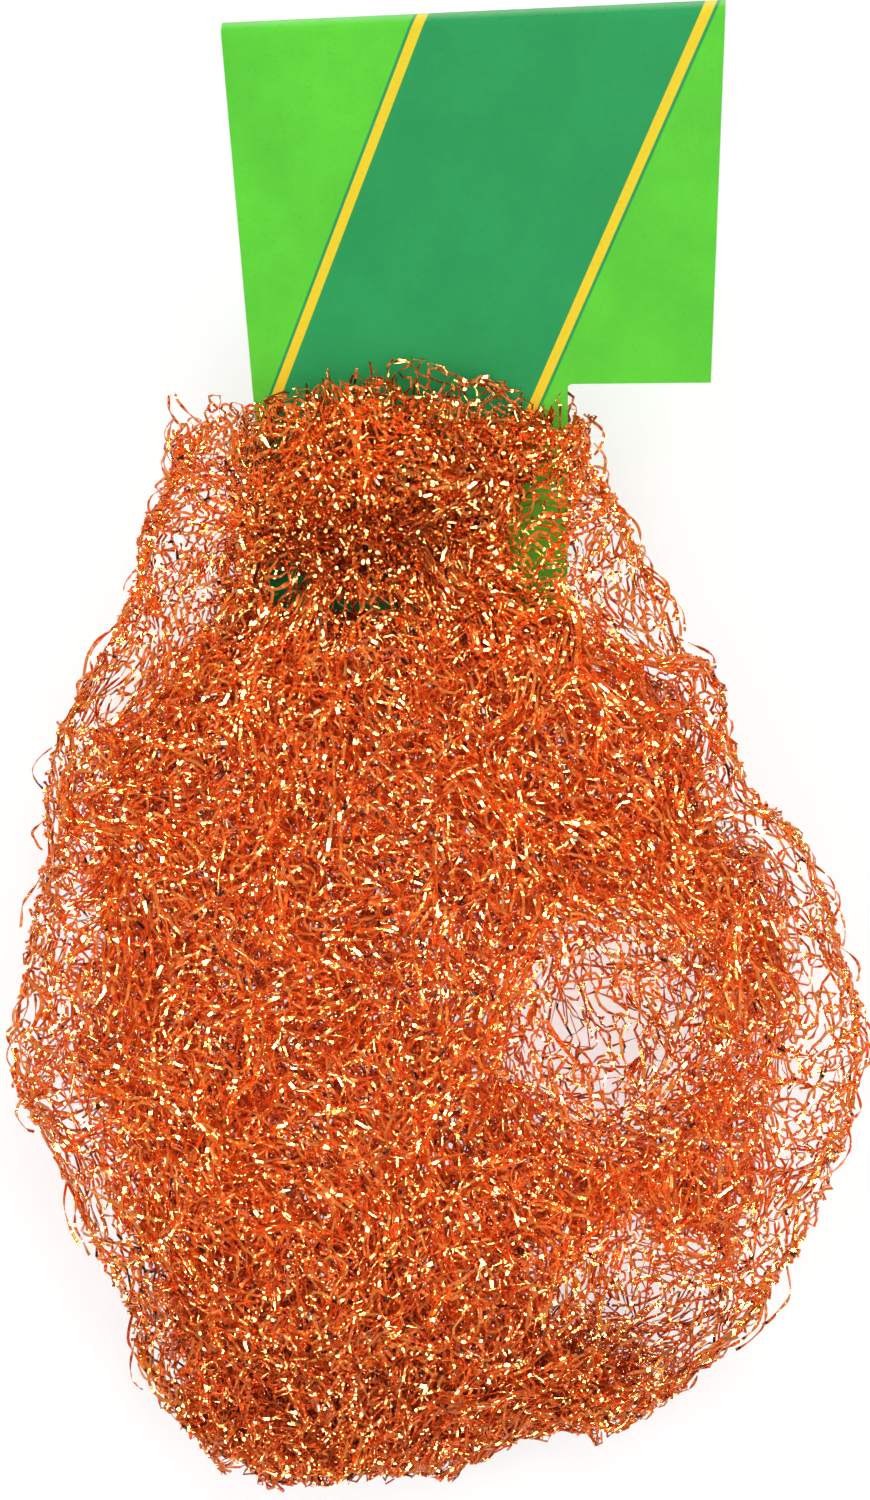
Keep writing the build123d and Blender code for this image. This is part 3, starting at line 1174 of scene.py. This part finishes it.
def place_marks(mesh, runs, seed):
    """Gives each run of ribbon its own stretch of the marks along it, so that no two look alike."""
    rng = np.random.default_rng(seed)
    layer = mesh.uv_layers[0]
    layer.name = "OFBake"
    count = len(mesh.loops)
    places = np.zeros(count * 2)
    layer.data.foreach_get("uv", places)
    places = places.reshape(-1, 2)
    corners = np.zeros(count, int)
    mesh.loops.foreach_get("vertex_index", corners)
    ends = np.cumsum([len(points) * 4 for points, tilt in runs])
    owner = np.minimum(np.searchsorted(ends, corners, side="right"), len(runs) - 1)
    lengths = np.array([np.linalg.norm(np.diff(points, axis=0), axis=1).sum() for points, tilt in runs])
    share = np.minimum(lengths / MAP_LENGTH, LONGEST_RUN)
    start = rng.random(len(runs)) * (1.0 - share)
    row = rng.integers(0, MAP_ROWS, len(runs))
    within = ROW_MARGIN + places[:, 1] * (1.0 - 2.0 * ROW_MARGIN)
    places[:, 0] = start[owner] + places[:, 0] * share[owner]
    places[:, 1] = (row[owner] + within) / MAP_ROWS
    layer.data.foreach_set("uv", places.ravel())


SHARED = {}


def shared(key, make):
    """Something that several operators need, made once."""
    if key not in SHARED:
        SHARED[key] = make()
    return SHARED[key]


def bright_copper(context):
    """The bright copper of the outer ply."""
    ribbon = context.scene.scrubber_ribbon
    colour = tuple(ribbon.copper)
    # The same colour that the folds take as painted shade gives this copper its darker lengths
    dark = tuple(ribbon.dark_and_shaded_copper)
    return copper_finish("bright copper", colour, dark, ribbon.roughness, *BRIGHT_METAL)


def lit_neck_copper(context):
    """The bright copper of the gathers, which lie flatter and glint in larger spots: paler, as painted
    light, with darker lengths, as painted shade.
    """
    ribbon = context.scene.scrubber_ribbon
    dark = tuple(value * NECK_SHADE for value in ribbon.dark_and_shaded_copper)
    return copper_finish("lit neck copper", LIT_NECK_COLOUR, dark, ribbon.roughness, *NECK_METAL)


def dark_and_shaded_copper(context):
    """A darker, redder copy of the copper for the folds inside, as painted shade."""
    ribbon = context.scene.scrubber_ribbon
    colour = tuple(ribbon.dark_and_shaded_copper)
    dark = tuple(value * share for value, share in zip(colour, DEEP_DARK))
    return copper_finish("shaded copper", colour, dark, ribbon.roughness * DEEP_ROUGHNESS, *DEEP_METAL)


def knit_folds(context):
    """Knits the plies that are folded inside the sleeve."""
    knitting = context.scene.scrubber_knit
    skin = shared("skin", PadSkin)
    rack = Rack()
    crumple = knitting.crumple / MM
    course = knitting.course_height / MM
    shape = (knitting.bulge, knitting.reach, knitting.loft / MM * FOLD_LOFT, FOLD_SPIN)
    folds = (crumple * FOLD_CRUMPLE[0], crumple * FOLD_CRUMPLE[1], FOLD_CRUMPLE[2])
    for depth, width, wales, seed, samples, lengthwise in FOLD_PLIES:
        belly = tuple((place, width + change) for place, change in FOLD_BELLY_CHANGE)
        tube = skin.tube(depth, FOLD_CENTRE, FOLD_NECK_WIDTH + belly + FOLD_FOOT_WIDTH)
        ply = Ply(tube, wales, course, seed, shape, folds, samples, lengthwise)
        rng = np.random.default_rng(seed + 5)
        if lengthwise:
            starts = (np.arange(wales) + rng.normal(size=wales) * TURN_STRAY) / wales
            stitches = int((skin.length - LENGTHWISE_FREE) / (course * LENGTHWISE_PITCH))
        else:
            starts = course_starts(FOLD_START, skin.length - FOLD_STOP, course)
            starts = starts + rng.normal(size=len(starts)) * START_STRAY
            stitches = wales
        knit(rack, ply, starts, stitches, fold_name, FOLD_PARTING, not lengthwise)
    return rack


def knit_sleeve(context):
    """Knits the outer ply of the tube."""
    knitting = context.scene.scrubber_knit
    skin = shared("skin", PadSkin)
    rack = Rack()
    crumple = knitting.crumple / MM
    course = knitting.course_height / MM
    tube = skin.tube(SLEEVE_DEPTH, SLEEVE_CENTRE, SLEEVE_WIDTH)
    shape = (knitting.bulge, knitting.reach, knitting.loft / MM, SLEEVE_SPIN)
    folds = (crumple * SLEEVE_CRUMPLE[0], crumple * SLEEVE_CRUMPLE[1], SLEEVE_CRUMPLE[2])
    ply = Ply(tube, knitting.wales, course, SLEEVE_SEED, shape, folds, SLEEVE_SAMPLES)
    starts = course_starts(SLEEVE_START, skin.length - SLEEVE_STOP, course)
    knit(rack, ply, starts, knitting.wales, sleeve_name, SLEEVE_PARTING)
    fray(rack, tube, knitting.strays, sleeve_name)
    return rack


class SCRUBBER_OT_sleeve(Operator):
    """Knit the outer ply of the tube, front and back"""

    bl_idname = "scrubber.sleeve"
    bl_label = "Knit the sleeve"

    def execute(self, context):
        runs = knit_sleeve(context).runs
        finish = bright_copper(context)
        for seed, name in enumerate(sorted(runs)):
            ribbon_piece(context, name, runs[name], finish, "outer_mesh_sleeve", seed, SLEEVE_BROAD)
        return {"FINISHED"}


FOLD_NODES = {
    "neck_gather_front": "neck_fold_front",
    "neck_gather_back": "neck_fold_back",
    "upper_folds_front": "upper_fold_front",
    "upper_folds_back": "upper_fold_back",
    "left_folds_front": "left_fold_front",
    "left_folds_back": "left_fold_back",
    "right_folds": "right_fold",
    "foot_turn": "foot_fold",
}


def make_folds(context, names):
    """Makes the named pieces of folded knit."""
    runs = shared("folds", lambda: knit_folds(context)).runs
    for name in names:
        if name not in runs:
            raise RuntimeError(f"no ribbon was knitted for {name}")
        kind = lit_neck_copper if name.startswith("neck") else dark_and_shaded_copper
        finish = shared(kind.__name__, lambda: kind(context))
        ribbon_piece(context, name, runs[name], finish, FOLD_NODES[name], len(name))


class SCRUBBER_OT_neck_gathers(Operator):
    """Gather the knit in front of the card's tab and behind it"""

    bl_idname = "scrubber.neck_gathers"
    bl_label = "Gather the neck"

    def execute(self, context):
        make_folds(context, ["neck_gather_front", "neck_gather_back"])
        return {"FINISHED"}


class SCRUBBER_OT_belly_folds(Operator):
    """Fold the knit inside the belly"""

    bl_idname = "scrubber.belly_folds"
    bl_label = "Fold the belly"

    def execute(self, context):
        make_folds(context, ["upper_folds_front", "upper_folds_back"])
        make_folds(context, ["left_folds_front", "left_folds_back", "right_folds"])
        return {"FINISHED"}


class SCRUBBER_OT_foot_turn(Operator):
    """Turn the end of the tube in at the foot"""

    bl_idname = "scrubber.foot_turn"
    bl_label = "Turn the foot in"

    def execute(self, context):
        make_folds(context, ["foot_turn"])
        return {"FINISHED"}


def card_finish(colours):
    """Printed board: a slanting dark band between thin stripes on light green, white where it is cut."""
    finish = Finish(bpy.data.materials.new("printed card"))
    place = finish.node("ShaderNodeTexCoord", None, out=OBJECT_PLACE)
    origin = tuple(value * MM for value in CARD_ORIGIN)
    local = finish.mapping(place, origin, tuple(card_turn().to_euler()), (MM, MM, MM))
    x, y, z = (finish.part(local, index) for index in range(3))

    shade = finish.noise(local, 0.09, 3.0, 0.6).step(0.3, 0.75)
    light = finish.blend(shade, rgba(LIGHT_SHADE), rgba(colours.light_green))
    dark = finish.blend(shade, rgba(DARK_SHADE), rgba(colours.dark_green))
    left = x - y * LEFT_SLOPE + LEFT_SHIFT
    right = x - y * RIGHT_SLOPE - RIGHT_SHIFT
    band = left.step(-BAND_STEP[1], -BAND_STEP[0]) * (1.0 - right.step(*BAND_STEP))
    stripes = 1.0 - abs(left).step(*STRIPE_STEP) * abs(right).step(*STRIPE_STEP)
    colour = finish.blend(band, light, dark)
    colour = finish.blend(stripes, colour, rgba(colours.yellow))

    fibre = finish.noise(local, 6.0, 4.0, 0.65)
    # A paler band along the top fold: partly wear of the print, partly a painted highlight
    wear_and_highlight = (y + 0.5 * fibre).step(HEADER_HEIGHT - 0.5, HEADER_HEIGHT + 0.2)
    colour = finish.blend(wear_and_highlight * WEAR_AND_HIGHLIGHT_SHARE, colour, rgba(WEAR_AND_HIGHLIGHT_COLOUR))
    grain = finish.noise(local, 2.4, 3.0, 0.7)
    colour = finish.blend(grain.step(0.50, 0.80) * GRAIN_GREEN_SHARE, colour, rgba(GRAIN_GREEN))
    colour = finish.blend(grain.step(0.48, 0.20) * GRAIN_DARK_SHARE, colour, rgba(GRAIN_DARK))

    back = (z * -1.0).step(0.0, 0.05)
    colour = finish.blend(back, colour, light)
    edge = abs(x).step(CARD_HALF_WIDTH - 0.10, CARD_HALF_WIDTH - 0.02)
    colour = finish.blend(edge, colour, rgba(CORE_COLOUR))
    surface = finish.node(
        "ShaderNodeBsdfPrincipled",
        None,
        Base_Color=colour,
        Roughness=CARD_ROUGHNESS[0] + CARD_ROUGHNESS[1] * fibre,
        Specular_IOR_Level=0.05,
        Normal=finish.node("ShaderNodeBump", None, *FIBRE_BUMP, Height=fibre),
    )
    return finish.end(surface)


class SCRUBBER_OT_card(Operator):
    """Print the folded card header"""

    bl_idname = "scrubber.card"
    bl_label = "Print the card"

    def execute(self, context):
        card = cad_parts["header_card"]
        card.data.materials.clear()
        card.data.materials.append(card_finish(context.scene.scrubber_card))
        return {"FINISHED"}


def stage_floor(context):
    """A pale floor, white where the camera, a mirror or a clear thing sees it."""
    shape = bmesh.new()
    bmesh.ops.create_grid(shape, x_segments=1, y_segments=1, size=FLOOR_HALF)
    mesh = bpy.data.meshes.new("floor")
    shape.to_mesh(mesh)
    shape.free()
    floor = bpy.data.objects.new("floor", mesh)
    context.scene.collection.objects.link(floor)
    finish = Finish(bpy.data.materials.new("pale floor"))
    plain = finish.node("ShaderNodeBsdfDiffuse", None, FLOOR_COLOUR)
    glow = finish.node("ShaderNodeEmission", None, WHITE, FLOOR_GLOW)
    lit = finish.node("ShaderNodeMixShader", None, GLOW_SHARE, plain, glow)
    camera, glossy, clear = finish.rays(CAMERA_RAY, GLOSSY_RAY, CLEAR_RAY)
    seen = (camera + glossy + clear).at_most(1.0)
    mesh.materials.append(finish.end(finish.node("ShaderNodeMixShader", None, seen, plain, lit)))


def stage_sky(context):
    """Even light from all round, weaker in mirrors and white for the camera."""
    studio = context.scene.scrubber_studio
    world = bpy.data.worlds.new("studio")
    around = Finish(world, "ShaderNodeOutputWorld")
    strengths = (studio.sky, studio.mirrored, 1.0)
    sky, mirrored, bright = (around.node("ShaderNodeBackground", None, WHITE, value) for value in strengths)
    camera, glossy = around.rays(CAMERA_RAY, GLOSSY_RAY)
    indirect = around.node("ShaderNodeMixShader", None, glossy, sky, mirrored)
    around.end(around.node("ShaderNodeMixShader", None, camera, indirect, bright))
    context.scene.world = world


def lamp(context, name, place, size, power):
    """A square soft lamp that points at the pad."""
    data = bpy.data.lights.new(name, "AREA")
    data.shape = "SQUARE"
    data.size = size
    data.energy = power
    made = bpy.data.objects.new(name, data)
    made.location = place
    way = Vector(LAMP_TARGET) - Vector(place)
    made.rotation_euler = way.to_track_quat("-Z", "Y").to_euler()
    context.scene.collection.objects.link(made)
    return made


def stage_lamps(context):
    """Soft lamps that no mirror shows, and small ones that only make the ribbons glint."""
    studio = context.scene.scrubber_studio
    for name, place, size, share in SOFT_LAMPS:
        lamp(context, name, place, size, studio.key_power * share).visible_glossy = False
    rng = np.random.default_rng(9)
    for index in range(studio.sparks):
        angle = 2.0 * math.pi * index * SPARK_TURN + 0.2 * rng.random()
        reach = SPARK_NEAR + SPARK_SPAN * (index / studio.sparks) ** SPARK_SPREAD
        place = (reach * math.cos(angle), reach * math.sin(angle) - SPARK_MIDDLE, SPARK_HEIGHT)
        spark = lamp(context, f"spark_lamp_{index}", place, SPARK_SIZE, studio.spark_power)
        spark.visible_diffuse = False


def stage_camera(context):
    """The camera, straight above the pad as in the photograph."""
    data = bpy.data.cameras.new("camera")
    data.sensor_fit = "VERTICAL"
    data.sensor_height = FRAME_HEIGHT
    data.lens = LENS
    data.clip_start = 0.005
    data.dof.use_dof = False
    camera = bpy.data.objects.new("camera", data)
    camera.location = (CAMERA_X, CAMERA_Y, context.scene.scrubber_studio.camera_height)
    context.scene.collection.objects.link(camera)
    context.scene.camera = camera
    context.scene.view_settings.view_transform = "Standard"


class SCRUBBER_OT_studio(Operator):
    """Set up the floor, the sky, the lamps and the camera"""

    bl_idname = "scrubber.studio"
    bl_label = "Set up the studio"

    def execute(self, context):
        stage_floor(context)
        stage_sky(context)
        stage_lamps(context)
        stage_camera(context)
        return {"FINISHED"}


class SCRUBBER_PT_panel(Panel):
    """The scrubber's settings and steps"""

    bl_idname = "SCRUBBER_PT_panel"
    bl_label = "Copper scrubber"
    bl_space_type = "VIEW_3D"
    bl_region_type = "UI"
    bl_category = "Scrubber"

    def draw(self, context):
        layout = self.layout
        for group in SETTINGS:
            box = layout.box()
            for prop in getattr(context.scene, group).bl_rna.properties:
                if prop.identifier not in ("rna_type", "name"):
                    box.prop(getattr(context.scene, group), prop.identifier)
        for step in STEPS:
            layout.operator(step.bl_idname)


SETTINGS = {
    "scrubber_ribbon": RibbonSettings,
    "scrubber_knit": KnitSettings,
    "scrubber_card": CardSettings,
    "scrubber_studio": StudioSettings,
}
STEPS = (
    SCRUBBER_OT_sleeve,
    SCRUBBER_OT_neck_gathers,
    SCRUBBER_OT_belly_folds,
    SCRUBBER_OT_foot_turn,
    SCRUBBER_OT_card,
    SCRUBBER_OT_studio,
)


def register():
    """Registers the settings, the steps and the panel."""
    for name, group in SETTINGS.items():
        bpy.utils.register_class(group)
        setattr(bpy.types.Scene, name, PointerProperty(type=group))
    for step in STEPS:
        bpy.utils.register_class(step)
    bpy.utils.register_class(SCRUBBER_PT_panel)


def unregister():
    """Takes away what register added."""
    bpy.utils.unregister_class(SCRUBBER_PT_panel)
    for step in reversed(STEPS):
        bpy.utils.unregister_class(step)
    for name, group in SETTINGS.items():
        delattr(bpy.types.Scene, name)
        bpy.utils.unregister_class(group)


def main():
    """Runs every step in order."""
    register()
    bpy.ops.scrubber.sleeve()
    bpy.ops.scrubber.neck_gathers()
    bpy.ops.scrubber.belly_folds()
    bpy.ops.scrubber.foot_turn()
    bpy.ops.scrubber.card()
    bpy.ops.scrubber.studio()
    drop_profile()


if __name__ == "__main__":
    main()
